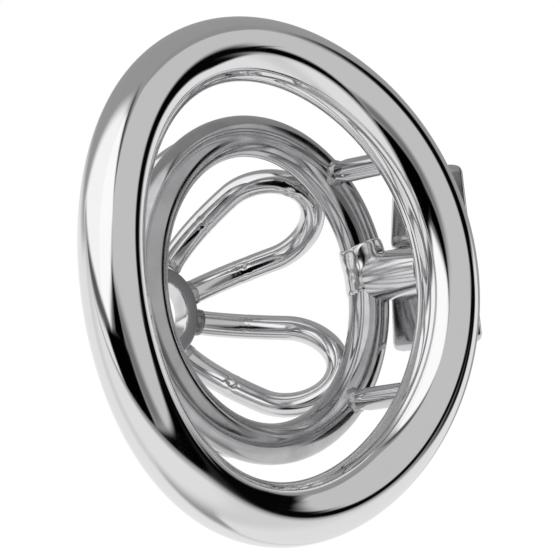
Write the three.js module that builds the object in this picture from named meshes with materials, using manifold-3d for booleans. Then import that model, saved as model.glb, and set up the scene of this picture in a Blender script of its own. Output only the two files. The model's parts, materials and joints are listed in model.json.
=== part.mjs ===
// Locking ring cage in polished steel: a heavy bent base ring, and a wire-loop
// cage that slides onto it over two guide pins and a locking stud.
// Millimetres, +Z up. The base ring lies at the bottom, the lock is on +X.

import * as THREE from 'three';
import { ConvexGeometry } from 'three/addons/geometries/ConvexGeometry.js';
import { mergeVertices } from 'three/addons/utils/BufferGeometryUtils.js';
import Module from 'manifold-3d';

const wasm = await Module();
wasm.setup();

// ---- driving dimensions ----
const GAP = 0.25; // joint line left between pieces that are welded or seated together

const BASE = { radius: 29.05, bar: 8.1, bow: 1.75 }; // 50 mm opening, bowed 3.5 mm end to end
const CAGE = { x: 10.35, y: 0.1, z: 13.4, radius: 19.75, bar: 5.3 };
const HUB = { x: 9.95, y: 0.85, z: 30.8, outer: 5.9, hole: 3.95, thick: 2.6 };
const WIRE = 3.2;
const PETAL = {
  count: 5, angle: -39.9, start: 6.57, startZ: 32.86, reachIn: 1.3,
  reach: [13.5, 13.5, 12.3, 12.7, 13.5], drop: 15.1, // each loop is bent to land on the cage ring
  spread: 2.47, tip: 5.65, bulge: 0.481,
};
const PIN = { bar: 3, places: [[24.1, -14.25], [22.9, 15.35]], top: 10.4, foot: -1, fit: 0.12 };
const STUD = { x: 30.6, y: -0.45, radius: 2.1, foot: -0.6, top: 10.4 };
const SLEEVE = { radius: 3.27, bore: 2.35, foot: 2.45, mouth: 3.0, top: 11.7 };
const SEAM_WELD = { angle: -5.2, length: 7.4, radius: 3.15 };

const LOCK = {
  inner: 32.2, outer: 40.9, bottom: 3.6,
  endY: -14.1, seamY: -3.6, faceY: 9.4,
  endTop: 9.2, seamTop: 11.5, faceTop: 13.0, edge: 0.55,
};
const PLUG = { x: 35.6, z: 7.8, radius: 2.6, back: 2.45, front: 9.15, spindle: 1.25 };
const CAM = { radius: 3.5, flat: 2.75, back: -1.2, front: 0.2, room: 3.62 };
const WAFER = { places: [4.2, 5.6, 7.0], thick: 0.6, width: 2.5, length: 4.3 };

const rad = THREE.MathUtils.degToRad;

// ---- finishes ----
const finish = (color, roughness) =>
  new THREE.MeshStandardMaterial({ color, roughness, metalness: 1 });
const mirrorSteel = () => finish(0xd9dadc, 0.06);
const brightSteel = () => finish(0xc6c7c9, 0.14);
const satinSteel = () => finish(0x9a9b9d, 0.4);
const weldSteel = () => finish(0xa4a4a4, 0.3);
const brass = () => finish(0xb59a5a, 0.3);

// ---- solids: closed geometry in, closed geometry out ----
function solid(geometry) {
  const bare = geometry.clone();
  bare.deleteAttribute('normal');
  bare.deleteAttribute('uv');
  const merged = mergeVertices(bare, 1e-4);
  return new wasm.Manifold(new wasm.Mesh({
    numProp: 3,
    vertProperties: new Float32Array(merged.attributes.position.array),
    triVerts: new Uint32Array(merged.index.array),
  }));
}

function geometryOf(manifold) {
  const mesh = manifold.getMesh();
  const geometry = new THREE.BufferGeometry();
  geometry.setAttribute('position', new THREE.BufferAttribute(new Float32Array(mesh.vertProperties), 3));
  geometry.setIndex(new THREE.BufferAttribute(new Uint32Array(mesh.triVerts), 1));
  geometry.computeVertexNormals();
  return geometry;
}

function cut(body, ...tools) {
  return geometryOf(tools.reduce((left, tool) => left.subtract(solid(tool)), solid(body)));
}

// ---- shapes ----
const move = (geometry, x, y, z) => geometry.translate(x, y, z);

const box = (x0, x1, y0, y1, z0, z1) =>
  move(new THREE.BoxGeometry(x1 - x0, y1 - y0, z1 - z0), (x0 + x1) / 2, (y0 + y1) / 2, (z0 + z1) / 2);

// Turned part along +Z from [radius, height] points that start and end on the axis.
function turned(points, x, y, segments) {
  const profile = points.map(([r, z]) => new THREE.Vector2(r, z));
  return move(new THREE.LatheGeometry(profile, segments).rotateX(Math.PI / 2), x, y, 0);
}

const rod = (radius, z0, z1, x, y, segments = 24) =>
  turned([[0, z0], [radius, z0], [radius, z1], [0, z1]], x, y, segments);

// Round bar along Y.
const crossRod = (radius, y0, y1, x, z, segments = 28) =>
  move(new THREE.CylinderGeometry(radius, radius, y1 - y0, segments), x, (y0 + y1) / 2, z);

// Round ring lying flat, bowed along Z by bow * cos(2 * angle).
function barRing(radius, barRadius, around, along, bow = 0) {
  const ring = new THREE.TorusGeometry(radius, barRadius, around, along);
  const p = ring.attributes.position;
  for (let i = 0; i < p.count; i += 1) {
    const angle = Math.atan2(p.getY(i), p.getX(i));
    p.setZ(i, p.getZ(i) - bow * Math.cos(2 * angle));
  }
  return ring;
}

// Tube along a curve with flat ends.
function tube(curve, radius, sides, steps) {
  const section = new THREE.Shape();
  section.absarc(0, 0, radius, 0, 2 * Math.PI);
  return new THREE.ExtrudeGeometry(section, {
    extrudePath: curve, steps, curveSegments: sides, bevelEnabled: false,
  });
}

// Block with chamfered edges between two four-corner ends.
function bevelledBlock(corners, bevel) {
  const centre = corners.reduce((sum, c) => sum.add(c), new THREE.Vector3()).divideScalar(8);
  const points = [];
  for (const corner of corners) {
    for (const axis of ['x', 'y', 'z']) {
      const point = corner.clone();
      for (const other of ['x', 'y', 'z']) {
        if (other !== axis) point[other] += Math.sign(centre[other] - corner[other]) * bevel;
      }
      points.push(point);
    }
  }
  return new ConvexGeometry(points);
}

function wedge(y0, y1, top0, top1, bevel) {
  const corners = [];
  for (const [y, top] of [[y0, top0], [y1, top1]]) {
    for (const x of [LOCK.inner, LOCK.outer]) {
      corners.push(new THREE.Vector3(x, y, LOCK.bottom), new THREE.Vector3(x, y, top));
    }
  }
  return bevelledBlock(corners, bevel);
}

// ---- assembly ----
const group = new THREE.Group();

function add(name, geometry, material) {
  const mesh = new THREE.Mesh(geometry, material);
  mesh.name = name;
  group.add(mesh);
}

// Base ring with three blind seats, and the locking stud with its round notch.
const camRoom = (radius, y0, y1) => crossRod(radius, y0, y1, PLUG.x, PLUG.z, 40);

const pinSeats = PIN.places.map(([x, y]) =>
  rod(PIN.bar / 2 + PIN.fit, PIN.foot - 0.3, 8, x, y));
const studSeat = rod(STUD.radius + GAP, STUD.foot - GAP, 8, STUD.x, STUD.y);
add('base_ring', cut(barRing(BASE.radius, BASE.bar / 2, 16, 80, BASE.bow), ...pinSeats, studSeat),
  mirrorSteel());

const studBody = turned([
  [0, STUD.foot], [STUD.radius, STUD.foot], [STUD.radius, STUD.top - 0.5],
  [STUD.radius - 0.5, STUD.top], [0, STUD.top],
], STUD.x, STUD.y, 32);
add('locking_stud', cut(studBody, camRoom(CAM.room, CAM.back - 0.15, CAM.front + 0.15)), brightSteel());

const studWeld = new THREE.LatheGeometry([
  [STUD.radius + GAP, 0.2], [2.9, 0.2], [2.8, 2.2], [2.6, 2.6], [STUD.radius + GAP, 2.8],
  [STUD.radius + GAP, 0.2],
].map(([r, z]) => new THREE.Vector2(r, z)), 32).rotateX(Math.PI / 2);
add('stud_weld', cut(move(studWeld, STUD.x, STUD.y, 0),
  barRing(BASE.radius, BASE.bar / 2 + GAP, 16, 80, BASE.bow)), weldSteel());

// Cage ring, and the weld band over its butt joint.
const cageRing = (barRadius) =>
  move(barRing(CAGE.radius, barRadius, 12, 64), CAGE.x, CAGE.y, CAGE.z);
add('cage_ring', cageRing(CAGE.bar / 2), brightSteel());

function seamWeldBand() {
  const steps = 8;
  const along = Array.from({ length: steps + 1 }, (_, i) => SEAM_WELD.length * (i / steps - 0.5));
  const crest = along.map((y, i) => [SEAM_WELD.radius - (i % steps ? 0 : 0.2), y]);
  const under = along.map((y) => [CAGE.bar / 2 + GAP, y]).reverse();
  const profile = [...crest, ...under, crest[0]];
  const band = new THREE.LatheGeometry(profile.map(([r, y]) => new THREE.Vector2(r, y)), 24);
  const p = band.attributes.position;
  for (let i = 0; i < p.count; i += 1) {
    const angle = rad(SEAM_WELD.angle) + p.getY(i) / CAGE.radius;
    const reach = CAGE.radius + p.getX(i);
    p.setXYZ(i, CAGE.x + reach * Math.cos(angle), CAGE.y + reach * Math.sin(angle), CAGE.z + p.getZ(i));
  }
  return band;
}
const sleeveRod = rod(SLEEVE.radius + GAP, -5, 30, STUD.x, STUD.y, 32);
const sleeveSpace = rod(SLEEVE.radius + GAP, -5, SLEEVE.top + GAP, STUD.x, STUD.y, 32);
add('cage_ring_weld', cut(seamWeldBand(), sleeveSpace), weldSteel());

// Petal loops: two bowed legs from the hub, joined by a round end that rests on the cage ring.
function petalCurve(degrees, reach) {
  const { start, startZ, drop, reachIn, spread, tip, bulge } = PETAL;
  const [length, tilt] = [Math.hypot(reach, drop), Math.atan2(drop, reach)];
  const out = new THREE.Vector3(Math.cos(rad(degrees)), Math.sin(rad(degrees)), 0);
  const side = new THREE.Vector3(-out.y, out.x, 0);
  const place = (s, w) => new THREE.Vector3(HUB.x, HUB.y, 0)
    .addScaledVector(out, start + s * Math.cos(tilt))
    .addScaledVector(side, w)
    .setZ(startZ - s * Math.sin(tilt) + bulge * s * (length - s) / length);

  const centre = length - tip;
  const lean = Math.asin(tip / Math.hypot(centre, spread)) - Math.atan2(spread, centre);
  const legRun = Math.sqrt(centre * centre + spread * spread - tip * tip) * Math.cos(lean);
  const leg = [];
  for (let i = 0; i <= 10; i += 1) {
    const s = -reachIn + (legRun + reachIn) * i / 10;
    leg.push([s, spread + s * Math.tan(lean)]);
  }
  const turn = Math.PI / 2 + lean;
  const arc = [];
  for (let i = 1; i < 24; i += 1) {
    const angle = turn * (1 - i / 12);
    arc.push([centre + tip * Math.cos(angle), tip * Math.sin(angle)]);
  }
  const back = leg.map(([s, w]) => [s, -w]).reverse();
  const points = [...leg, ...arc, ...back].map(([s, w]) => place(s, w));
  const path = new THREE.CurvePath();
  for (let i = 1; i < points.length; i += 1) path.add(new THREE.LineCurve3(points[i - 1], points[i]));
  return path;
}

// The room beside the hub that belongs to the neighbouring loop, on the side that way points to.
function neighbour(degrees, way) {
  const [near, far] = [way * GAP / 2, way * 8];
  return box(0, 12, Math.min(near, far), Math.max(near, far), 25, 45)
    .rotateZ(rad(degrees + way * 180 / PETAL.count)).translate(HUB.x, HUB.y, 0);
}

const hubSpace = rod(HUB.outer + GAP, HUB.z - GAP, 60, HUB.x, HUB.y, 40);
for (let i = 0; i < PETAL.count; i += 1) {
  const degrees = PETAL.angle + 360 * i / PETAL.count;
  add(`petal_loop_${i + 1}`, cut(tube(petalCurve(degrees, PETAL.reach[i]), WIRE / 2, 5, 56), hubSpace,
    neighbour(degrees, 1), neighbour(degrees, -1), cageRing(CAGE.bar / 2 + GAP)), brightSteel());
}

// Hub: flat washer ring with small chamfers.
const hubProfile = [[HUB.hole, 0.35], [HUB.hole + 0.35, 0], [HUB.outer - 0.2, 0], [HUB.outer, 0.2],
  [HUB.outer, HUB.thick - 0.5], [HUB.outer - 0.5, HUB.thick], [HUB.hole + 0.35, HUB.thick],
  [HUB.hole, HUB.thick - 0.35], [HUB.hole, 0.35]].map(([r, z]) => new THREE.Vector2(r, z));
add('hub_ring', move(new THREE.LatheGeometry(hubProfile, 48).rotateX(Math.PI / 2),
  HUB.x, HUB.y, HUB.z), satinSteel());

// Guide pins with a cone at the cage ring, each in a ragged weld collar.
PIN.places.forEach(([x, y], i) => {
  const r = PIN.bar / 2;
  const pin = turned([[0, PIN.foot], [r - 0.3, PIN.foot], [r, PIN.foot + 0.3], [r, 8.6],
    [0.9, PIN.top + 2], [0, PIN.top + 2]], x, y, 24);
  add(`guide_pin_${i + 1}`, cut(pin, cageRing(CAGE.bar / 2 + GAP)), brightSteel());

  const collar = [[1.45, 9.5], [1.75, 9.9], [2.0, 10.6], [2.1, 11.4], [1.2, 11.4], [1.36, 9.5],
    [1.45, 9.5]].map(([cr, z]) => new THREE.Vector2(cr, z));
  const bead = move(new THREE.LatheGeometry(collar, 20).rotateX(Math.PI / 2), x, y, 0);
  const core = turned([[0, 5], [r + GAP, 5], [r + GAP, 8.6], [0.9 + GAP, PIN.top + 2], [0, PIN.top + 2]],
    x, y, 24);
  add(`pin_weld_${i + 1}`, cut(bead, core, cageRing(CAGE.bar / 2 + GAP)), weldSteel());
});

// Lock sleeve: tube over the stud, saddle-cut under the cage ring, its mouth opened to clear
// the weld at the stud's foot.
const sleeve = rod(SLEEVE.radius, SLEEVE.foot, SLEEVE.top, STUD.x, STUD.y, 40);
const mouthDepth = SLEEVE.mouth - SLEEVE.bore;
const sleeveBore = turned([
  [0, 0], [SLEEVE.mouth, 0], [SLEEVE.mouth, SLEEVE.foot], [SLEEVE.bore, SLEEVE.foot + mouthDepth],
  [SLEEVE.bore, 20], [0, 20],
], STUD.x, STUD.y, 32);
add('lock_sleeve', cut(sleeve, sleeveBore, cageRing(CAGE.bar / 2 + GAP),
  barRing(BASE.radius, BASE.bar / 2 + GAP, 16, 80, BASE.bow),
  camRoom(CAM.room, CAM.back - 0.15, CAM.front + 0.15)), mirrorSteel());

// Lock housing: plug bore, spindle hole and cam room; the end block closes the cam room.
const { x: px, z: pz } = PLUG;
const waferRow = [WAFER.places[0] - 0.6, WAFER.places.at(-1) + 0.6];
add('lock_housing', cut(
  wedge(LOCK.seamY + GAP / 2, LOCK.faceY, LOCK.seamTop, LOCK.faceTop, LOCK.edge),
  sleeveRod,
  camRoom(CAM.room, LOCK.seamY - 1, CAM.front + 0.15),
  crossRod(PLUG.spindle + 0.12, 0, 3, px, pz),
  crossRod(PLUG.radius + 0.1, PLUG.back - 0.15, LOCK.faceY + 1, px, pz),
  box(px - 1.4, px + 1.4, ...waferRow, pz, pz + 3.2),
  box(px, px + 3.2, ...waferRow, pz - 1.4, pz + 1.4),
), brightSteel());
add('lock_end_block', cut(
  wedge(LOCK.endY, LOCK.seamY - GAP / 2, LOCK.endTop, LOCK.seamTop - 0.1, LOCK.edge), sleeveRod,
), brightSteel());

// Plug with keyway and wafer slots, the cam disc on its spindle and the screw that holds it.
const slots = WAFER.places.map((y) =>
  box(px - WAFER.width / 2 - 0.08, px + WAFER.width / 2 + 0.08, y - 0.38, y + 0.38, pz - 4, pz + 4));
const plugBody = new THREE.LatheGeometry([
  [0, CAM.back], [0.75, CAM.back], [0.75, CAM.front + 0.1], [PLUG.spindle, CAM.front + 0.1],
  [PLUG.spindle, PLUG.back], [PLUG.radius, PLUG.back], [PLUG.radius, PLUG.front - 0.25],
  [PLUG.radius - 0.25, PLUG.front], [0, PLUG.front],
].map(([r, y]) => new THREE.Vector2(r, y)), 36);
add('lock_plug', cut(move(plugBody, px, 0, pz), ...slots,
  box(px - 0.45, px + 0.45, WAFER.places[0] - 1, 12, pz - 1.7, pz + 1.2)), brass());

const camDisc = crossRod(CAM.radius, CAM.back + 0.1, CAM.front, px, pz, 40);
add('lock_cam', cut(camDisc, box(px - 6, px - CAM.flat, -3, 3, pz - 6, pz + 6),
  crossRod(0.75 + 0.2, -4, 4, px, pz, 16)), satinSteel());
add('cam_screw', cut(crossRod(1.25, -2.2, CAM.back - 0.15, px, pz, 20),
  box(px - 0.2, px + 0.2, -3, -1.85, pz - 3, pz + 3)), satinSteel());

WAFER.places.forEach((y, i) => {
  const plate = box(px - WAFER.width / 2, px + WAFER.width / 2, y - WAFER.thick / 2, y + WAFER.thick / 2,
    pz - WAFER.length / 2, pz + WAFER.length / 2);
  add(`lock_wafer_${i + 1}`,
    cut(plate, box(px - 0.6, px + 0.6, y - 2, y + 2, pz - 1.35, pz + 0.95)), brass());
});

// Origin: centre of the footprint, at the lowest point of the base ring.
const bounds = new THREE.Box3().setFromObject(group);
const shift = bounds.getCenter(new THREE.Vector3()).setZ(bounds.min.z).negate();
group.children.forEach((mesh) => mesh.geometry.translate(shift.x, shift.y, shift.z));

export default group;
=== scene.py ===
"""Locking ring cage in polished steel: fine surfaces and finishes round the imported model.

Metres, +Z up, in the model's own frame. Sizes named in millimetres are multiplied by MM.
"""
import json
import math

import bmesh
import bpy
import numpy as np
from mathutils import Matrix, Vector, noise


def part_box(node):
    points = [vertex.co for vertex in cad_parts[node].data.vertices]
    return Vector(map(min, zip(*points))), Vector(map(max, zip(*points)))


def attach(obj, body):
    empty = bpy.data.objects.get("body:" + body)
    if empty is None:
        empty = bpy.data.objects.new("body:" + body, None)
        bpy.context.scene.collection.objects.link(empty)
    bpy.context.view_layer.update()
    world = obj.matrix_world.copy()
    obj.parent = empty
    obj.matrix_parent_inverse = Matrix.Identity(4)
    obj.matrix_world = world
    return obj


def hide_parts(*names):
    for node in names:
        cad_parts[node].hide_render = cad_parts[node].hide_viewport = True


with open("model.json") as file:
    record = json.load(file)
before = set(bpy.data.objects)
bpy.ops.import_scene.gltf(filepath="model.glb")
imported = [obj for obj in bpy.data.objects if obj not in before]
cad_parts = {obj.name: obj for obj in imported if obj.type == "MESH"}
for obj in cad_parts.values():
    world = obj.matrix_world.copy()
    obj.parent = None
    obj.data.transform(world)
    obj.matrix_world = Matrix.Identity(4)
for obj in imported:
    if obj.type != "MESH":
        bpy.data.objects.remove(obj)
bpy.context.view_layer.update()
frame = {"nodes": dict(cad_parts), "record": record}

MM = 0.001

# ---- driving sizes, in millimetres, that the frame's boxes don't give ----
BASE_BAR = 8.1
CAGE_BAR = 5.3
WIRE = 3.2
HUB_HOLE = 3.95
PETAL = {
    "count": 5, "angle": -39.9, "start": 6.57, "below_top": 0.54, "reach_in": 1.3,
    "reach": (13.5, 13.5, 12.3, 12.7, 13.5), "drop": 15.1,
    "spread": 2.47, "tip": 5.65, "bulge": 0.481,
}
# Butt seams of the loops: leg, distance from the foot, reach from the wire's middle, depth.
SEAMS = {
    1: ((1, 9.2, 2.3, 0.15), (-1, 8.8, 2.0, 0.14)),
    2: ((1, 9.0, 2.1, 0.22), (-1, 8.4, 1.9, 0.12)),
    3: ((1, 6.5, 2.0, 0.14),), 4: ((-1, 6.5, 2.0, 0.14),), 5: ((1, 7.0, 2.0, 0.14),),
}
# Weld spatter on a loop's round end: degrees round the end from its tip.
SPATTER = {1: -28, 4: 15}
PIN = {"cone_from": 2.2, "tip": 0.9, "edge": 0.28, "seat_fit": 0.12, "seat_floor": 0.3}
STUD_EDGE = 0.5
STUD_WELD = {"thick": 1.15, "edge": 0.4, "lumps": 0.14}
PIN_WELD = {"thick": 1.1, "edge": 0.3, "lumps": 0.12}
SEAM_WELD = {"angle": -5.2, "length": 7.4, "radius": 2.97, "inset": 0.12, "lumps": 0.10, "grain": 2.6}
# Collars round the loops' feet: the wire's hidden inside, the collar's radius, and its height.
HUB_BEAD = {"inside": 1.3, "radius": 1.62, "height": 0.7, "lumps": 0.07}
SCORCHED_BEAD = {"inside": 1.3, "radius": 1.7, "height": 0.9, "lumps": 0.07}
SCORCHED_FOOT = (2, -1)
# Half sizes of the patch under a loop's round end, and how much larger loop 1's is.
TIP_WELD = {"long": 1.5, "wide": 0.95, "deep": 0.45, "lumps": 0.14, "large": {1: 1.45}}
WELD_GRAIN = {"fine": 0.6, "coarse": 0.8}
RING_WAVES = {"depth": 0.012, "grain": 5}
SLEEVE = {"bore": 2.35, "mouth": 3.0, "edge": 0.12, "into_ring": 0.02, "base_gap": 0.12}
LOCK = {"end_drop": 2.2, "face_drop": 1.5, "edge": 1.2, "sleeve_gap": 0.05, "plug_from": 2.3}
CAM_ROOM = {"radius": 3.62, "back": -1.35, "front": 0.35}
WAFER_ROOM = {"along": 0.3, "reach": 3.2, "side": 1.4}
PLUG = {
    "spindle": 1.25, "screw": 0.75, "shoulder": 0.3, "back": 2.45, "edge": 0.2,
    "keyway": 0.45, "key_low": 1.7, "key_high": 1.2, "key_back": 0.7,
    "spindle_gap": 0.12, "bore_gap": 0.1, "slot_gap": 0.08,
}
HUB_EDGE = 0.32
EDGE_STEPS = 3

BODY_OF = {
    node: body
    for body, nodes in frame["record"]["behaviour"]["bodies"].items()
    for node in nodes
}


# ---- mesh helpers ----
def mesh_object(name, points, faces):
    mesh = bpy.data.meshes.new(name)
    mesh.from_pydata([tuple(p) for p in points], [], faces)
    obj = bpy.data.objects.new(name, mesh)
    bpy.context.scene.collection.objects.link(obj)
    return obj


def clean(obj, sharp=35):
    """Merges doubled points, faces the surface outwards and smooths all but its real edges."""
    bm = bmesh.new()
    bm.from_mesh(obj.data)
    bmesh.ops.remove_doubles(bm, verts=bm.verts, dist=1e-7)
    bmesh.ops.recalc_face_normals(bm, faces=bm.faces)
    bm.to_mesh(obj.data)
    bm.free()
    obj.data.shade_smooth()
    obj.data.set_sharp_from_angle(angle=math.radians(sharp))
    return obj


def skin(name, rings, closed=False, caps=False):
    """Surface through closed rings of points, given as rows x points x 3."""
    rings = np.asarray(rings, float)
    rows, per = rings.shape[:2]
    faces = []
    for row in range(rows if closed else rows - 1):
        a, b = row * per, (row + 1) % rows * per
        for i in range(per):
            j = (i + 1) % per
            faces.append((a + i, a + j, b + j, b + i))
    if caps:
        faces.append(tuple(range(per)))
        faces.append(tuple(range((rows - 1) * per, rows * per)))
    return clean(mesh_object(name, rings.reshape(-1, 3), faces))


def circle(count):
    angles = np.arange(count) * 2 * math.pi / count
    return np.cos(angles), np.sin(angles)


def turned(name, profile, centre, axis="Z", segments=96, closed=False):
    """Turned piece. profile is (radius, height) in metres along the axis from centre.

    It starts and ends on the axis, or it is closed and goes all the way round.
    """
    c, s = circle(segments)
    rings = []
    for radius, height in profile:
        flat = np.stack([radius * c, radius * s, np.full(segments, height)], 1)
        rings.append(flat if axis == "Z" else flat[:, [1, 2, 0]])
    return skin(name, np.array(rings) + np.array(centre), closed=closed)


def rounded(points, radius, steps=4):
    """A profile whose corners are replaced by short arcs; the first and last points stay."""
    out = [points[0]]
    for before, at, after in zip(points, points[1:], points[2:]):
        at = Vector(at)
        to_a, to_b = Vector(before) - at, Vector(after) - at
        reach = min(radius, to_a.length * 0.45, to_b.length * 0.45)
        a, b = at + to_a.normalized() * reach, at + to_b.normalized() * reach
        for k in range(steps + 1):
            t = k / steps
            p = a.lerp(at, t).lerp(at.lerp(b, t), t)
            out.append((p.x, p.y))
    out.append(points[-1])
    return out


def block(name, low, high, top_low_y=None, edge=0.0):
    """Box between two corners, its top lower at the low-y end, with rounded edges."""
    drop = high.z if top_low_y is None else top_low_y
    points = [
        (x, y, z)
        for x in (low.x, high.x)
        for y, top in ((low.y, drop), (high.y, high.z))
        for z in (low.z, top)
    ]
    faces = [(0, 1, 3, 2), (4, 6, 7, 5), (0, 4, 5, 1), (2, 3, 7, 6), (0, 2, 6, 4), (1, 5, 7, 3)]
    obj = mesh_object(name, points, faces)
    if edge:
        bm = bmesh.new()
        bm.from_mesh(obj.data)
        bmesh.ops.bevel(
            bm, geom=bm.edges[:], offset=edge, segments=EDGE_STEPS, profile=0.5, affect="EDGES"
        )
        bm.to_mesh(obj.data)
        bm.free()
    return clean(obj)


def applied(obj):
    """Bakes the modifiers of obj into its mesh."""
    graph = bpy.context.evaluated_depsgraph_get()
    mesh = bpy.data.meshes.new_from_object(obj.evaluated_get(graph))
    obj.modifiers.clear()
    obj.data = mesh
    return obj


def carved(obj, *tools, sharp=35):
    """obj with the tools cut out of it. The tools are used up."""
    for tool in tools:
        cut = obj.modifiers.new("cut", "BOOLEAN")
        cut.operation = "DIFFERENCE"
        cut.solver = "EXACT"
        cut.object = tool
    bpy.context.view_layer.update()
    applied(obj)
    for tool in tools:
        bpy.data.objects.remove(tool)
    return clean(obj, sharp)


def flat_shaded(obj):
    """Keeps large flat faces flat where they meet rounded edges."""
    modifier = obj.modifiers.new("flat", "WEIGHTED_NORMAL")
    modifier.keep_sharp = True
    return applied(obj)


def lumpy(obj, depth, grain, seed, where=None):
    """Moves the surface in and out by up to depth, in lumps about grain across."""
    mesh = obj.data
    normals = [v.normal.copy() for v in mesh.vertices]
    shift = Vector((seed * 3.7, seed * 1.9, seed * 5.3))
    for vertex, normal in zip(mesh.vertices, normals):
        weight = 1.0 if where is None else where(vertex.co)
        if weight > 0:
            at = vertex.co / grain + shift
            bump = noise.noise(at) + 0.5 * noise.noise(at * 2.3)
            vertex.co += normal * (depth * weight * bump)
    mesh.update()
    return obj


def rod_profile(radius, low, high):
    return [(0, low), (radius, low), (radius, high), (0, high)]


def rod(name, radius, low, high, x, y):
    return turned(name, rod_profile(radius, low, high), (x, y, 0))


def cross_rod(name, radius, low, high, x, z):
    return turned(name, rod_profile(radius, low, high), (x, 0, z), axis="Y")


# ---- rings of round bar ----
class Ring:
    """A bar ring's centre, radius and bow, worked out from its box and its bar."""

    def __init__(self, node, bar):
        low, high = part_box(node)
        self.bar = bar / 2 * MM
        self.centre = (low + high) / 2
        self.radius = (high.x - low.x) / 2 - self.bar
        self.bow = (high.z - low.z) / 2 - self.bar

    def height(self, angle):
        return self.centre.z - self.bow * math.cos(2 * angle)

    def point(self, angle, turn, bar):
        reach = self.radius + bar * math.cos(turn)
        return (
            self.centre.x + reach * math.cos(angle),
            self.centre.y + reach * math.sin(angle),
            self.height(angle) + bar * math.sin(turn),
        )

    def rings(self, bar, along, around):
        angles = np.linspace(0, 2 * math.pi, along, endpoint=False)
        turns = np.arange(around) * 2 * math.pi / around
        return [[self.point(a, t, bar) for t in turns] for a in angles]


BASE = Ring("base_ring", BASE_BAR)
CAGE = Ring("cage_ring", CAGE_BAR)


def middle(node):
    low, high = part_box(node)
    return (low + high) / 2


# ---- pieces ----
def placed(piece, slot, *nodes):
    """The piece stands for these CAD nodes and moves with the body that they are in."""
    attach(piece, BODY_OF[nodes[0]])
    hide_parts(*nodes)
    return piece


def make_base_ring():
    ring = skin("fine_base_ring", BASE.rings(BASE.bar, 420, 84), closed=True)
    seats = []
    for node in ("guide_pin_1", "guide_pin_2"):
        low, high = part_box(node)
        centre = middle(node)
        radius = (high.x - low.x) / 2 + PIN["seat_fit"] * MM
        floor = low.z - PIN["seat_floor"] * MM
        seats.append(rod("seat", radius, floor, BASE.centre.z + 3 * BASE.bar, centre.x, centre.y))
    return placed(carved(ring, *seats, sharp=50), "mirror_steel", "base_ring")


def make_stud():
    low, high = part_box("locking_stud")
    centre, radius = middle("locking_stud"), (high.x - low.x) / 2
    profile = rounded(rod_profile(radius, low.z, high.z), STUD_EDGE * MM)
    stud = turned("fine_locking_stud", profile, (centre.x, centre.y, 0))
    return placed(carved(stud, cam_room()), "bright_steel", "locking_stud")


def make_stud_weld():
    low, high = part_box("stud_weld")
    centre, outer = middle("stud_weld"), (high.x - low.x) / 2
    inner = outer - STUD_WELD["thick"] * MM
    profile = [
        (inner, low.z), (outer, low.z + 0.3 * MM), (outer - 0.15 * MM, high.z - 1.0 * MM),
        (outer - 0.6 * MM, high.z - 0.25 * MM), (inner, high.z), (inner, low.z),
    ]
    bead = turned(
        "fine_stud_weld", rounded(profile, STUD_WELD["edge"] * MM, 5)[:-1],
        (centre.x, centre.y, 0), closed=True,
    )
    lumpy(bead, STUD_WELD["lumps"] * MM, WELD_GRAIN["coarse"] * MM, 2)
    return placed(bead, "weld_steel", "stud_weld")


def cam_room():
    plug = middle("lock_plug")
    return cross_rod(
        "cam_room", CAM_ROOM["radius"] * MM, CAM_ROOM["back"] * MM, CAM_ROOM["front"] * MM,
        plug.x, plug.z,
    )


def make_cage_ring():
    ring = skin("fine_cage_ring", CAGE.rings(CAGE.bar, 360, 64), closed=True)
    lumpy(ring, RING_WAVES["depth"] * MM, RING_WAVES["grain"] * MM, 4)
    return placed(ring, "bright_steel", "cage_ring")


def make_seam_weld():
    """Hand-filed band over the ring's butt joint, with broad facets and a slanting upper edge."""
    middle_angle = math.radians(SEAM_WELD["angle"])
    half = SEAM_WELD["length"] * MM / CAGE.radius / 2
    inset = SEAM_WELD["inset"] * MM
    rows, around = 72, 96
    turns = np.arange(around) * 2 * math.pi / around
    rings = []
    for k in range(rows):
        t = 2 * k / (rows - 1) - 1
        swell = max(0.0, 1 - abs(t) ** 7) ** 0.5
        bar = CAGE.bar - inset + (SEAM_WELD["radius"] * MM - CAGE.bar + inset) * swell
        ring = []
        for turn in turns:
            slant = 0.12 * math.sin(turn + 0.6) + 0.05 * math.sin(2 * turn + 2)
            ring.append(CAGE.point(middle_angle + half * (t * 0.93 + slant), turn, bar))
        rings.append(ring)
    band = skin("fine_cage_ring_weld", rings, caps=True)
    lumpy(band, SEAM_WELD["lumps"] * MM, SEAM_WELD["grain"] * MM, 7)
    return placed(band, "weld_steel", "cage_ring_weld")


HUB_LOW, HUB_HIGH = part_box("hub_ring")
HUB = middle("hub_ring")
HUB_OUTER = (HUB_HIGH.x - HUB_LOW.x) / 2


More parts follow.
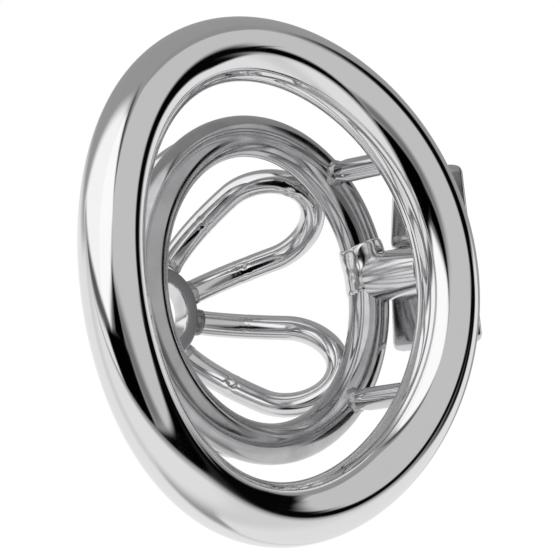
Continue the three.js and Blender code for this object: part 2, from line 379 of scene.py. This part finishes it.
class Petal:
    """The wire loop's line: two bowed legs and a round end, laid out from the hub's axis."""

    def __init__(self, index):
        self.degrees = PETAL["angle"] + 360 * (index - 1) / PETAL["count"]
        angle = math.radians(self.degrees)
        reach, drop = PETAL["reach"][index - 1] * MM, PETAL["drop"] * MM
        self.length, self.tilt = math.hypot(reach, drop), math.atan2(drop, reach)
        self.out = Vector((math.cos(angle), math.sin(angle), 0))
        self.side = Vector((-self.out.y, self.out.x, 0))
        self.tip, self.spread = PETAL["tip"] * MM, PETAL["spread"] * MM
        self.centre = self.length - self.tip
        reach = math.hypot(self.centre, self.spread)
        self.lean = math.asin(self.tip / reach) - math.atan2(self.spread, self.centre)
        self.leg_run = math.sqrt(reach ** 2 - self.tip ** 2) * math.cos(self.lean)

    def place(self, along, across):
        tilt, length = self.tilt, self.length
        flat = self.out * (PETAL["start"] * MM + along * math.cos(tilt)) + self.side * across
        fall = along * math.sin(tilt) - PETAL["bulge"] * along * (length - along) / length
        top = HUB_HIGH.z - PETAL["below_top"] * MM
        return Vector((HUB.x + flat.x, HUB.y + flat.y, top - fall))

    def leg_point(self, sign, along):
        return self.place(along, sign * (self.spread + along * math.tan(self.lean)))

    def end_point(self, angle):
        return self.place(self.centre + self.tip * math.cos(angle), self.tip * math.sin(angle))

    def line(self):
        """Points along the wire's middle, from one foot to the other."""
        inside = -PETAL["reach_in"] * MM
        down = [self.leg_point(1, a) for a in np.linspace(inside, self.leg_run, 56, endpoint=False)]
        turn = math.pi / 2 + self.lean
        end = [self.end_point(a) for a in np.linspace(turn, -turn, 73)]
        up = [self.leg_point(-1, a) for a in np.linspace(self.leg_run, inside, 57)[1:]]
        return down + end + up


def wire_rings(points, radius, sides, upright):
    """Rings of points round a line, each turned so that it keeps the upright direction."""
    c, s = circle(sides)
    rings = []
    for k, point in enumerate(points):
        way = (points[min(k + 1, len(points) - 1)] - points[max(k - 1, 0)]).normalized()
        up = (upright - way * upright.dot(way)).normalized()
        across = way.cross(up)
        rings.append([point + (across * c[i] + up * s[i]) * radius for i in range(sides)])
    return rings


def make_petal(index):
    petal = Petal(index)
    upright = petal.out * math.sin(petal.tilt) + Vector((0, 0, math.cos(petal.tilt)))
    rings = wire_rings(petal.line(), WIRE / 2 * MM, 40, upright)
    loop = skin(f"fine_petal_loop_{index}", rings, caps=True)
    hub_space = rod("hub_space", HUB_OUTER + 0.02 * MM, HUB_LOW.z - MM, HUB_HIGH.z + 10 * MM, HUB.x, HUB.y)
    tools = [hub_space]
    half = 180 / PETAL["count"]
    for way in (1, -1):
        room = block(
            "neighbour", Vector((0, min(way * 0.04, way * 8) * MM, HUB_LOW.z - 4 * MM)),
            Vector((12 * MM, max(way * 0.04, way * 8) * MM, HUB_HIGH.z + 10 * MM)),
        )
        room.data.transform(Matrix.Rotation(math.radians(petal.degrees + way * half), 4, "Z"))
        room.data.transform(Matrix.Translation((HUB.x, HUB.y, 0)))
        tools.append(room)
    carved(loop, *tools, sharp=50)
    marks = [
        (petal.leg_point(sign, distance * MM), reach, depth)
        for sign, distance, reach, depth in SEAMS[index]
    ]
    if index in SPATTER:
        angle = math.radians(SPATTER[index])
        marks.append((petal.end_point(angle), 2.4, 0.22))
    for number, (mark, reach, depth) in enumerate(marks):

        def near_mark(p, mark=mark, reach=reach):
            return max(0.0, 1 - ((p - mark).length / (reach * MM)) ** 2)

        lumpy(loop, depth * MM, 0.5 * MM, index * 3 + number, near_mark)
    return placed(loop, "bright_steel", f"petal_loop_{index}")


def bead_round(name, point, way, profile, rough, seed, material):
    """Small weld bead round a wire. profile is (radius, height) in millimetres."""
    bead = turned(
        name, rounded([(r * MM, h * MM) for r, h in profile], 0.2 * MM, 3)[:-1], (0, 0, 0),
        segments=72, closed=True,
    )
    bead.data.transform(way.to_track_quat("Z", "Y").to_matrix().to_4x4())
    bead.data.transform(Matrix.Translation(point))
    bead.data.update()
    lumpy(bead, rough * MM, WELD_GRAIN["fine"] * MM, seed)
    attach(bead, "cage")
    return paint(bead, MATERIALS[material])


def make_hub_welds(index):
    """Raised collar round each leg's foot, where the loop meets the hub."""
    petal = Petal(index)
    for sign, end in ((1, "a"), (-1, "b")):
        low, high = petal.leg_point(sign, 0), petal.leg_point(sign, 0.1 * MM)
        scorched = (index, sign) == SCORCHED_FOOT
        bead = SCORCHED_BEAD if scorched else HUB_BEAD
        inside, wide, reach = bead["inside"], bead["radius"], bead["height"]
        profile = [
            (inside, -0.4), (wide, -0.25), (wide + 0.04, 0.25),
            (wide, reach), (inside, reach + 0.1), (inside, -0.4),
        ]
        bead_round(
            f"hub_bead_{index}{end}", low, (high - low).normalized(), profile, bead["lumps"],
            index * 2 + sign, "scorched" if scorched else "weld",
        )


def make_tip_weld(index):
    """Weld patch where the loop's round end rests on the cage ring."""
    petal = Petal(index)
    touch = petal.place(petal.length, 0)
    angle = math.atan2(touch.y - CAGE.centre.y, touch.x - CAGE.centre.x)
    ring = Vector((
        CAGE.centre.x + CAGE.radius * math.cos(angle), CAGE.centre.y + CAGE.radius * math.sin(angle),
        CAGE.centre.z,
    ))
    between = ring + (touch - ring) * (CAGE.bar / (CAGE.bar + WIRE / 2 * MM))
    along = Vector((-math.sin(angle), math.cos(angle), 0))
    rings = []
    rows, sides = 28, 32
    c, s = circle(sides)
    way = (touch - ring).normalized()
    wide = way.cross(along)
    larger = TIP_WELD["large"].get(index, 1.0)
    for k in range(rows):
        t = math.pi * (k + 0.5) / rows
        reach, size = math.cos(t), math.sin(t)
        rings.append([
            between + along * (reach * TIP_WELD["long"] * larger * MM)
            + (wide * (c[i] * TIP_WELD["wide"]) + way * (s[i] * TIP_WELD["deep"]))
            * (size * larger * MM)
            for i in range(sides)
        ])
    patch = skin(f"tip_weld_{index}", rings, caps=True)
    lumpy(patch, TIP_WELD["lumps"] * MM, WELD_GRAIN["fine"] * MM, index + 40)
    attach(patch, "cage")
    return paint(patch, MATERIALS["weld"])


def make_hub():
    """Flat washer ring: satin outside, with a polished bore."""
    outer, hole, low, high = HUB_OUTER, HUB_HOLE * MM, HUB_LOW.z, HUB_HIGH.z
    profile = [(hole, low), (outer, low), (outer, high), (hole, high)]
    mid = (hole, (low + high) / 2)
    hub = turned(
        "fine_hub_ring", rounded([mid, *profile, mid], HUB_EDGE * MM)[:-1], (HUB.x, HUB.y, 0),
        segments=128, closed=True,
    )
    hub.data.materials.append(MATERIALS["satin"])
    hub.data.materials.append(MATERIALS["wire"])
    for face in hub.data.polygons:
        reach = math.hypot(face.center.x - HUB.x, face.center.y - HUB.y)
        face.material_index = int(reach < hole + 0.1 * MM)
    return placed(hub, "satin_steel", "hub_ring")


def make_pin(index):
    node = f"guide_pin_{index}"
    low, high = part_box(node)
    centre, radius = middle(node), (high.x - low.x) / 2
    cone = CAGE.centre.z - CAGE.bar - PIN["cone_from"] * MM
    profile = [
        (0, low.z), (radius, low.z), (radius, cone),
        (PIN["tip"] * MM, CAGE.centre.z), (0, CAGE.centre.z),
    ]
    profile = rounded(profile, PIN["edge"] * MM)
    pin = turned(f"fine_{node}", profile, (centre.x, centre.y, 0), segments=72)
    return placed(pin, "bright_steel", node)


def make_pin_weld(index):
    node = f"pin_weld_{index}"
    low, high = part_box(node)
    centre = middle(f"guide_pin_{index}")
    outer = (high.x - low.x) / 2
    inner = outer - PIN_WELD["thick"] * MM
    profile = [
        (inner, low.z + 0.4 * MM), (outer - 0.8 * MM, low.z + 0.3 * MM),
        (outer - 0.5 * MM, low.z + 0.9 * MM), (outer - 0.3 * MM, low.z + 1.6 * MM),
        (outer - 0.1 * MM, high.z + 0.8 * MM),
        (inner, high.z + 0.8 * MM), (inner, low.z + 0.4 * MM),
    ]
    bead = turned(
        f"fine_{node}", rounded(profile, PIN_WELD["edge"] * MM)[:-1], (centre.x, centre.y, 0),
        segments=72, closed=True,
    )
    lumpy(bead, PIN_WELD["lumps"] * MM, WELD_GRAIN["fine"] * MM, index + 20)
    return placed(bead, "weld_steel", node)


def make_sleeve():
    low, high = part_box("lock_sleeve")
    centre, radius = middle("lock_sleeve"), (high.y - low.y) / 2
    bore, mouth = SLEEVE["bore"] * MM, SLEEVE["mouth"] * MM
    profile = [
        (bore, low.z + mouth - bore), (mouth, low.z), (radius, low.z),
        (radius, high.z), (bore, high.z),
    ]
    mid = (bore, (low.z + high.z) / 2)
    sleeve = turned(
        "fine_lock_sleeve", rounded([mid, *profile, mid], SLEEVE["edge"] * MM)[:-1],
        (high.x - radius, centre.y, 0), segments=128, closed=True,
    )
    inside_ring, round_base = CAGE.bar - SLEEVE["into_ring"] * MM, BASE.bar + SLEEVE["base_gap"] * MM
    saddle = skin("saddle", CAGE.rings(inside_ring, 240, 64), closed=True)
    base_room = skin("base_room", BASE.rings(round_base, 360, 72), closed=True)
    return placed(carved(sleeve, saddle, base_room, cam_room()), "mirror_steel", "lock_sleeve")


def sleeve_rod():
    """Cutter for the room that the lock blocks leave round the sleeve."""
    low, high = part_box("lock_sleeve")
    radius = (high.y - low.y) / 2
    return rod(
        "sleeve_rod", radius + LOCK["sleeve_gap"] * MM, -0.01, 0.06,
        high.x - radius, middle("lock_sleeve").y,
    )


def make_lock_blocks():
    edge = LOCK["edge"] * MM
    low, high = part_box("lock_end_block")
    end = block("fine_lock_end_block", low, high, high.z - LOCK["end_drop"] * MM, edge)
    placed(flat_shaded(carved(end, sleeve_rod())), "bright_steel", "lock_end_block")

    low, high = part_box("lock_housing")
    plug_low, plug_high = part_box("lock_plug")
    plug = (plug_low + plug_high) / 2
    bore = (plug_high.x - plug_low.x) / 2 + PLUG["bore_gap"] * MM
    spindle_hole = (PLUG["spindle"] + PLUG["spindle_gap"]) * MM
    housing = block("fine_lock_housing", low, high, high.z - LOCK["face_drop"] * MM, edge)
    row_low, row_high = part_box("lock_wafer_1")[0].y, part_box("lock_wafer_3")[1].y
    half, reach, wide = (WAFER_ROOM[key] * MM for key in ("along", "reach", "side"))
    carved(
        housing,
        sleeve_rod(),
        cross_rod("room", CAM_ROOM["radius"] * MM, low.y - MM, CAM_ROOM["front"] * MM,
                  plug.x, plug.z),
        cross_rod("spindle_hole", spindle_hole, 0, 3 * MM, plug.x, plug.z),
        cross_rod("plug_bore", bore, LOCK["plug_from"] * MM, high.y + MM, plug.x, plug.z),
        block("wafer_room", Vector((plug.x - wide, row_low - half, plug.z)),
              Vector((plug.x + wide, row_high + half, plug.z + reach))),
        block("turned_room", Vector((plug.x, row_low - half, plug.z - wide)),
              Vector((plug.x + reach, row_high + half, plug.z + wide))),
    )
    placed(flat_shaded(housing), "bright_steel", "lock_housing")


def make_plug():
    low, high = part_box("lock_plug")
    centre, radius = (low + high) / 2, (high.x - low.x) / 2
    spindle, screw = PLUG["spindle"] * MM, PLUG["screw"] * MM
    shoulder, back = PLUG["shoulder"] * MM, PLUG["back"] * MM
    profile = [
        (0, low.y), (screw, low.y), (screw, shoulder), (spindle, shoulder), (spindle, back),
        (radius, back), (radius, high.y), (0, high.y),
    ]
    profile = rounded(profile, PLUG["edge"] * MM, 3)
    plug = turned("fine_lock_plug", profile, (centre.x, 0, centre.z), axis="Y")
    slots = []
    for index in (1, 2, 3):
        wafer_low, wafer_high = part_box(f"lock_wafer_{index}")
        room = Vector((PLUG["slot_gap"] * MM, PLUG["slot_gap"] * MM, 2 * MM))
        slots.append(block(f"slot_{index}", wafer_low - room, wafer_high + room))
    way = PLUG["keyway"] * MM
    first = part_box("lock_wafer_1")[0].y
    key_back, key_low, key_high = (PLUG[key] * MM for key in ("key_back", "key_low", "key_high"))
    slots.append(block(
        "keyway", Vector((centre.x - way, first - key_back, centre.z - key_low)),
        Vector((centre.x + way, high.y + 2 * MM, centre.z + key_high)),
    ))
    return placed(flat_shaded(carved(plug, *slots)), "lock_brass", "lock_plug")


# ---- materials ----
def add(tree, kind, inputs=None, **settings):
    """A shader node. Inputs are values or other nodes' outputs."""
    node = tree.nodes.new("ShaderNode" + kind)
    for key, value in settings.items():
        setattr(node, key, value)
    for key, value in (inputs or {}).items():
        if isinstance(value, bpy.types.NodeSocket):
            tree.links.new(value, node.inputs[key])
        else:
            node.inputs[key].default_value = value
    return node


def maths(tree, operation, *values):
    return add(tree, "Math", dict(enumerate(values)), operation=operation).outputs[0]


def spread(tree, value, low, high, to_low, to_high):
    """Smoothly maps low to high onto to_low to to_high."""
    inputs = {"Value": value, 1: low, 2: high, 3: to_low, 4: to_high}
    return add(tree, "MapRange", inputs, interpolation_type="SMOOTHSTEP").outputs[0]


def turned_coordinates(tree, centre, axis="Z"):
    """Distance from an axis, height along it and distance round it, in metres."""
    here = add(tree, "TexCoord").outputs["Object"]
    local = add(tree, "VectorMath", {0: here, 1: centre}, operation="SUBTRACT").outputs[0]
    parts = add(tree, "SeparateXYZ", {0: local}).outputs
    a, b, along = (parts[0], parts[1], parts[2]) if axis == "Z" else (parts[2], parts[0], parts[1])
    reach = maths(tree, "SQRT", maths(tree, "ADD", maths(tree, "MULTIPLY", a, a),
                                      maths(tree, "MULTIPLY", b, b)))
    way = maths(tree, "MULTIPLY", maths(tree, "ARCTAN2", b, a), 0.02)
    return reach, along, way


def steel(name, colour, smooth, rough, scratch, ripple, centre=None, axis="Z", shade_and_dirt=0.0):
    """Polished or brushed metal. smooth and rough are the roughness of its clean and worn places.

    Fine scratches run round the centre's axis, or in no one direction if there is none.
    scratch and ripple are the depths of scratches and of hand-polished waves, in metres.
    The last argument darkens the colour with painted shade in hollows and creases, and with random dirt
    patches.
    """
    material = bpy.data.materials.new(name)
    material.use_nodes = True
    tree = material.node_tree
    shader = tree.nodes["Principled BSDF"]
    shader.inputs["Metallic"].default_value = 1.0
    shader.inputs["Base Color"].default_value = (*colour, 1)

    here = add(tree, "TexCoord").outputs["Object"]
    if centre is None:
        lines = add(tree, "VectorMath", {0: here, 1: (5000, 9000, 14000)}, operation="MULTIPLY").outputs[0]
    else:
        reach, along, way = turned_coordinates(tree, centre, axis)
        lines = add(tree, "CombineXYZ", {
            0: maths(tree, "MULTIPLY", reach, 16000),
            1: maths(tree, "MULTIPLY", along, 16000),
            2: maths(tree, "MULTIPLY", way, 700),
        }).outputs[0]
    scratches = add(tree, "TexNoise", {"Vector": lines, "Scale": 1.0, "Detail": 3.0}).outputs[0]
    smears = add(tree, "TexNoise", {"Vector": here, "Scale": 260.0, "Detail": 4.0}).outputs[0]
    waves = add(tree, "TexNoise", {"Vector": here, "Scale": 150.0, "Detail": 1.0}).outputs[0]
    edges = add(tree, "NewGeometry").outputs["Pointiness"]

    worn = maths(tree, "ADD", maths(tree, "MULTIPLY", smears, 0.65), maths(tree, "MULTIPLY", scratches, 0.35))
    roughness = spread(tree, worn, 0.36, 0.66, smooth, rough)
    tree.links.new(roughness, shader.inputs["Roughness"])

    # Painted shade: the colour darkens where the surface curves inwards, in hollows, creases and recesses.
    # The patches below are random dirt.
    hollow_shade = maths(tree, "MULTIPLY", spread(tree, edges, 0.40, 0.49, 1.0, 0.0), shade_and_dirt)
    patchy = maths(tree, "MULTIPLY", spread(tree, smears, 0.3, 0.75, 0.0, 0.25), shade_and_dirt)
    shade = maths(tree, "MAXIMUM", hollow_shade, patchy)
    # Darkens the base colour towards a quarter of itself with the painted shade and dirt above.
    tint = add(tree, "Mix", {"Factor": shade}, data_type="RGBA")
    tint.inputs[6].default_value = (*colour, 1)
    tint.inputs[7].default_value = (*[c * 0.25 for c in colour], 1)
    tree.links.new(tint.outputs[2], shader.inputs["Base Color"])

    fine = add(tree, "Bump", {"Height": scratches, "Distance": scratch, "Strength": 1.0})
    broad = add(tree, "Bump", {"Height": waves, "Distance": ripple, "Strength": 1.0,
                               "Normal": fine.outputs[0]})
    tree.links.new(broad.outputs[0], shader.inputs["Normal"])
    return material


STEEL = (0.80, 0.80, 0.81)
MATERIALS = {
    "base": steel("mirror_base", STEEL, 0.03, 0.07, 0.0000001, 0.000004, BASE.centre, shade_and_dirt=0.05),
    "cage": steel("bright_cage", (0.53, 0.53, 0.54), 0.06, 0.19, 0.0000006, 0.000004, CAGE.centre, shade_and_dirt=1.0),
    "wire": steel("bright_wire", (0.76, 0.76, 0.77), 0.06, 0.13, 0.0000002, 0.000005, shade_and_dirt=0.3),
    "sleeve": steel("mirror_sleeve", STEEL, 0.11, 0.20, 0.0000001, 0.000008,
                    middle("lock_sleeve"), shade_and_dirt=0.3),
    "lock": steel("bright_lock", (0.66, 0.66, 0.67), 0.10, 0.24, 0.0000004, 0.000008, shade_and_dirt=0.6),
    "stud": steel("bright_stud", (0.66, 0.66, 0.67), 0.05, 0.11, 0.0000002, 0.000002,
                  middle("locking_stud"), shade_and_dirt=0.4),
    "scorched": steel("dark_weld", (0.28, 0.28, 0.28), 0.2, 0.4, 0.000004, 0.00002, shade_and_dirt=0.8),
    "facet": steel("filed_weld", (0.80, 0.80, 0.80), 0.09, 0.2, 0.0000003, 0.000008, shade_and_dirt=0.4),
    "satin": steel("satin_hub", (0.42, 0.42, 0.43), 0.34, 0.46, 0.000004, 0.00001, HUB, shade_and_dirt=0.4),
    "cam": steel("satin_cam", (0.5, 0.5, 0.51), 0.3, 0.42, 0.000004, 0.00001,
                 middle("lock_plug"), axis="Y", shade_and_dirt=0.3),
    "weld": steel("weld_bead", (0.52, 0.52, 0.52), 0.16, 0.34, 0.000004, 0.00003, shade_and_dirt=0.8),
    "brass": steel("lock_brass", (0.72, 0.55, 0.28), 0.18, 0.32, 0.000002, 0.00001,
                   middle("lock_plug"), axis="Y", shade_and_dirt=0.4),
}


def paint(obj, material):
    obj.data.materials.clear()
    obj.data.materials.append(material)
    return obj


def dress(node, material):
    """Gives a CAD node that stays in view its finish."""
    for slot in frame["nodes"][node].material_slots:
        slot.material = MATERIALS[material]


paint(make_base_ring(), MATERIALS["base"])
paint(make_stud(), MATERIALS["stud"])
paint(make_stud_weld(), MATERIALS["weld"])
paint(make_cage_ring(), MATERIALS["cage"])
paint(make_seam_weld(), MATERIALS["facet"])
for number in range(1, PETAL["count"] + 1):
    paint(make_petal(number), MATERIALS["wire"])
    make_hub_welds(number)
    make_tip_weld(number)
make_hub()
for number in (1, 2):
    paint(make_pin(number), MATERIALS["stud"])
    paint(make_pin_weld(number), MATERIALS["weld"])
paint(make_sleeve(), MATERIALS["sleeve"])
make_lock_blocks()
for piece_name in ("fine_lock_end_block", "fine_lock_housing"):
    paint(bpy.data.objects[piece_name], MATERIALS["lock"])
paint(make_plug(), MATERIALS["brass"])
for number in (1, 2, 3):
    dress(f"lock_wafer_{number}", "brass")
dress("lock_cam", "cam")
dress("cam_screw", "cam")


# ---- camera ----
CAMERA = {
    "target": (-3.61, 0.15, 5.52), "distance": 547.1,
    "azimuth": -94.755, "elevation": -44.713, "roll": -100.065, "lens": 284.77,
}


def make_camera():
    """Places the camera and returns its right, up and back directions."""
    azimuth, elevation = math.radians(CAMERA["azimuth"]), math.radians(CAMERA["elevation"])
    back = Vector((
        math.sin(azimuth) * math.cos(elevation),
        -math.cos(azimuth) * math.cos(elevation),
        math.sin(elevation),
    ))
    level = Vector((0, 0, 1)).cross(back).normalized()
    raised = back.cross(level)
    roll = math.radians(CAMERA["roll"])
    right = level * math.cos(roll) + raised * math.sin(roll)
    data = bpy.data.cameras.new("camera")
    data.lens = CAMERA["lens"]
    data.sensor_width = 36
    data.clip_start, data.clip_end = 0.01, 20
    camera = bpy.data.objects.new("camera", data)
    bpy.context.scene.collection.objects.link(camera)
    basis = Matrix((right, back.cross(right), back)).transposed().to_4x4()
    basis.translation = (Vector(CAMERA["target"]) + back * CAMERA["distance"]) * MM
    camera.matrix_world = basis
    bpy.context.scene.camera = camera
    return right, back.cross(right), back


# ---- studio ----
# Soft boxes, grey cards and black flags stand far away all round, and show only as light and
# reflections. Each has a brightness from 0 to 1, a soft edge in degrees, and its corners, as
# angles to the right and up from the way to the camera's place at rest. Later ones lie in front.
# They were drawn over a map of the light, worked out from the reflections in the photograph, so
# they aren't a plain studio. A few plain soft boxes can replace them.
CARDS = {
    "left_wall": (0.95, 8, ((-124, 6), (-122, 66), (-60, 78), (-20, 80), (-28, 30), (-30, -22), (-70, -4))),
    "left_floor": (0.87, 5, ((-110, 6), (-100, 8), (-60, -8), (-28, -24), (-40, -60), (-110, -65))),
    "back_floor": (0.87, 8, ((-100, 4), (-143, 12), (-178, 2), (163, -14), (166, -62),
                             (-140, -72), (-100, -66))),
    "outer_card": (0.55, 5, ((28, 60), (60, 80), (110, 78), (135, 50), (128, 36))),
    "top_gap": (0.12, 3.5, ((-8, 86), (18, 80), (12, 60), (8, 32), (1, 40), (-4, 70))),
    "soft_box": (0.98, 3, ((-41, 0), (-42, 42), (-30, 74), (-8, 74), (7, 34), (-4, 8), (-30, -19))),
    "flag_glow": (0.42, 6, ((-34, -18), (-18, -4), (-3, 13), (2, -8), (-18, -24))),
    "left_band": (0.34, 3.5, ((-106, 18), (-60, 4), (-30, -12), (-30, -24), (-62, -9), (-102, 8))),
    "grey_card": (0.74, 1.5, ((2, 12), (8, 40), (24, 72), (62, 78), (104, 63), (116, 44), (92, -2),
                              (60, -32), (28, -44))),
    "grey_shade": (0.44, 8, ((0, 18), (12, 8), (34, -10), (58, -22), (34, -42), (8, -14))),
    "black_flag": (0.03, 2.5, ((-46, -14), (-30, -14), (0, -12), (14, -16), (30, -40), (0, -48), (-24, -40))),
    "flag_tip": (0.03, 2.5, ((-16, -14), (-1, 14), (8, -6), (10, -16))),
    "right_gap": (0.05, 3.5, ((90, 0), (94, 14), (104, 30), (122, 40), (130, 28), (122, 8), (104, -4))),
    "black_strip": (0.03, 2, ((26, -41), (50, -30), (70, -13), (86, 4), (98, 0), (84, -24),
                              (56, -44), (26, -50))),
    "right_floor": (0.86, 3, ((76, -24), (95, -13), (113, -11), (142, -10), (166, -14), (164, -60),
                              (120, -75), (80, -65))),
    "right_corner": (0.86, 3, ((114, 8), (132, 10), (146, -14), (112, -14))),
    "black_disc": (0.05, 2.5, ((88, 8), (100, 8), (112, 4), (113, -8), (106, -11), (92, -10))),
}
# The table's edge tilts away from the camera: tilt, soft edge and brightness, the far edge first.
TABLE = {"bearing": 10, "middle": 0, "fade": 0.25, "edges": ((43.5, 1.0, 0.55), (48, 3.0, 0.86))}
SURROUND = 0.57
STEEL_GAIN = 1 / STEEL[0]
GAMMA = 2.2
FLOOR = {"half_side": 3.0, "height": -0.00005, "grey": 0.92, "roughness": 0.6}


def studio_direction(axes, right_angle, up_angle):
    """Unit vector to a place in the studio, from its angles to the right and up, in degrees."""
    right, up, back = axes
    a, e = math.radians(right_angle), math.radians(up_angle)
    return right * (math.cos(e) * math.sin(a)) + up * math.sin(e) + back * (math.cos(e) * math.cos(a))


def level_of(shade):
    """Emission that polished steel shows as this shade of grey."""
    value = shade ** GAMMA * STEEL_GAIN
    return (value, value, value, 1)


def dot(tree, way, vector):
    return add(tree, "VectorMath", {0: way, 1: vector}, operation="DOT_PRODUCT").outputs["Value"]


def over(tree, under, mask, shade):
    """The light under, covered with one shade where the mask is one."""
    mix = add(tree, "Mix", {"Factor": mask}, data_type="RGBA")
    tree.links.new(under, mix.inputs[6])
    mix.inputs[7].default_value = level_of(shade)
    return mix.outputs[2]


def card_mask(tree, way, axes, soft, corners):
    """One inside the card and zero outside. The card's outline bulges outwards all round."""
    points = [studio_direction(axes, *corner) for corner in corners]
    middle_way = sum(points, Vector()).normalized()
    depth = None
    for a, b in zip(points, points[1:] + points[:1]):
        inward = a.cross(b).normalized()
        if inward.dot(middle_way) < 0:
            inward.negate()
        side = dot(tree, way, inward)
        depth = side if depth is None else maths(tree, "MINIMUM", depth, side)
    edge = math.sin(math.radians(soft))
    return spread(tree, depth, -edge, edge, 0.0, 1.0)


def make_world(axes):
    """The studio, as light and reflections only: what the camera sees behind the object is white."""
    world = bpy.data.worlds.new("studio")
    bpy.context.scene.world = world
    world.use_nodes = True
    tree = world.node_tree
    tree.nodes.clear()
    way = add(tree, "TexCoord").outputs["Generated"]
    start = add(tree, "RGB")
    start.outputs[0].default_value = level_of(SURROUND)
    colour = start.outputs[0]
    for shade, soft, corners in CARDS.values():
        colour = over(tree, colour, card_mask(tree, way, axes, soft, corners), shade)
    for tilt, soft, shade in TABLE["edges"]:
        facing = studio_direction(axes, TABLE["bearing"], 90 - tilt)
        edge = math.sin(math.radians(soft))
        side = spread(tree, dot(tree, way, facing), -edge, edge, 1.0, 0.0)
        middle_way = studio_direction(axes, TABLE["middle"], 0)
        near = spread(tree, dot(tree, way, middle_way), -TABLE["fade"], TABLE["fade"], 0.0, 1.0)
        colour = over(tree, colour, maths(tree, "MULTIPLY", side, near), shade)
    seen = add(tree, "Background", {"Color": (1, 1, 1, 1), "Strength": 1.0})
    lit = add(tree, "Background", {"Color": colour, "Strength": 1.0})
    by_camera = add(tree, "LightPath").outputs["Is Camera Ray"]
    both = add(tree, "MixShader", {0: by_camera, 1: lit.outputs[0], 2: seen.outputs[0]})
    out = add(tree, "OutputWorld", {"Surface": both.outputs[0]})
    tree.nodes.active = out


def make_floor():
    """Pale floor under the object. It has a top side only, so it doesn't hide the view from below."""
    size, z = FLOOR["half_side"], FLOOR["height"]
    floor = mesh_object(
        "floor", [(-size, -size, z), (size, -size, z), (size, size, z), (-size, size, z)],
        [(0, 1, 2, 3)],
    )
    material = bpy.data.materials.new("floor")
    material.use_nodes = True
    tree = material.node_tree
    shader = tree.nodes["Principled BSDF"]
    shader.inputs["Roughness"].default_value = FLOOR["roughness"]
    shader.inputs["Base Color"].default_value = (*[FLOOR["grey"]] * 3, 1)
    clear = add(tree, "BsdfTransparent")
    under = add(tree, "NewGeometry").outputs["Backfacing"]
    both = add(tree, "MixShader", {0: under, 1: shader.outputs[0], 2: clear.outputs[0]})
    tree.links.new(both.outputs[0], tree.nodes["Material Output"].inputs["Surface"])
    paint(floor, material)
    floor.visible_glossy = False
    floor.visible_shadow = False


make_world(make_camera())
make_floor()
bpy.context.scene.view_settings.view_transform = "Standard"
